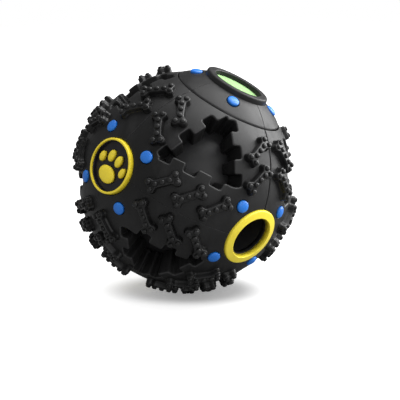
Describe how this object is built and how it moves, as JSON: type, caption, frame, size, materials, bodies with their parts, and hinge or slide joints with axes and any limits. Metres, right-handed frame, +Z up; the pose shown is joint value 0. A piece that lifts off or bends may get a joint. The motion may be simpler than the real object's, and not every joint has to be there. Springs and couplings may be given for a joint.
{
  "type": "treat dispensing ball",
  "caption": "Rolling dog ball with a lugged rubber tread over an inner treat capsule, a ringed port that drops treats as it rolls, and a sounder tube with a sliding slug.",
  "frame": {"origin": "centre of the ball, which is the centre of its bounding box", "axes": "+Z up as the ball lies on a floor, +X the level direction in which the treat port faces; the port itself dips 24.2 degrees below +X, and the sounder's axis leans 28.6 degrees from +Z"},
  "size_m": [0.1196, 0.1182, 0.1187],
  "materials": {
    "tread_rubber": "satin moulded",
    "capsule_plastic": "smooth satin",
    "badge_black": "smooth",
    "yellow_plastic": "satin moulded",
    "blue_plastic": "satin moulded",
    "green_plastic": "smooth",
    "tube_plastic": "smooth",
    "soft_foam": "matt",
    "weight_steel": "turned",
    "reed_brass": "rolled"
  },
  "bodies": {
    "ball": {"upper_treat_front_panel": "tread_rubber", "upper_treat_rear_panel": "tread_rubber", "upper_far_front_panel": "tread_rubber", "upper_far_rear_panel": "tread_rubber", "lower_treat_front_panel": "tread_rubber", "lower_treat_rear_panel": "tread_rubber", "lower_far_front_panel": "tread_rubber", "lower_far_rear_panel": "tread_rubber", "sounder_cover": "tread_rubber", "upper_capsule": "capsule_plastic", "lower_capsule": "capsule_plastic", "treat_chute": "capsule_plastic", "treat_ring": "yellow_plastic", "sounder_cap": "green_plastic", "sounder_tube": "tube_plastic", "sounder_base": "tube_plastic", "upper_bumper": "soft_foam", "lower_bumper": "soft_foam", "tube_grommet": "soft_foam", "front_badge_disc": "badge_black", "front_badge_ring": "yellow_plastic", "front_paw_palm": "yellow_plastic", "front_paw_toes": "yellow_plastic", "rear_badge_disc": "badge_black", "rear_badge_ring": "yellow_plastic", "rear_paw_palm": "yellow_plastic", "rear_paw_toes": "yellow_plastic", "far_badge_disc": "badge_black", "far_badge_ring": "yellow_plastic", "far_paw_palm": "yellow_plastic", "far_paw_toes": "yellow_plastic", "base_badge_disc": "badge_black", "base_badge_ring": "yellow_plastic", "base_paw_palm": "yellow_plastic", "base_paw_toes": "yellow_plastic", "treat_studs": "blue_plastic", "front_studs": "blue_plastic", "rear_studs": "blue_plastic", "far_studs": "blue_plastic", "base_studs": "blue_plastic", "cover_studs": "blue_plastic"},
    "slug": {"slug_sleeve": "tube_plastic", "slug_weight": "weight_steel", "slug_wiper": "soft_foam", "reed_plate": "tube_plastic", "reed": "reed_brass"}
  },
  "joints": [
    {"name": "slug_slide", "type": "slide", "parent": "ball", "child": "slug", "axis": [0.3944, 0.2723, 0.8777], "range_m": [0, 0.05102]}
  ]
}
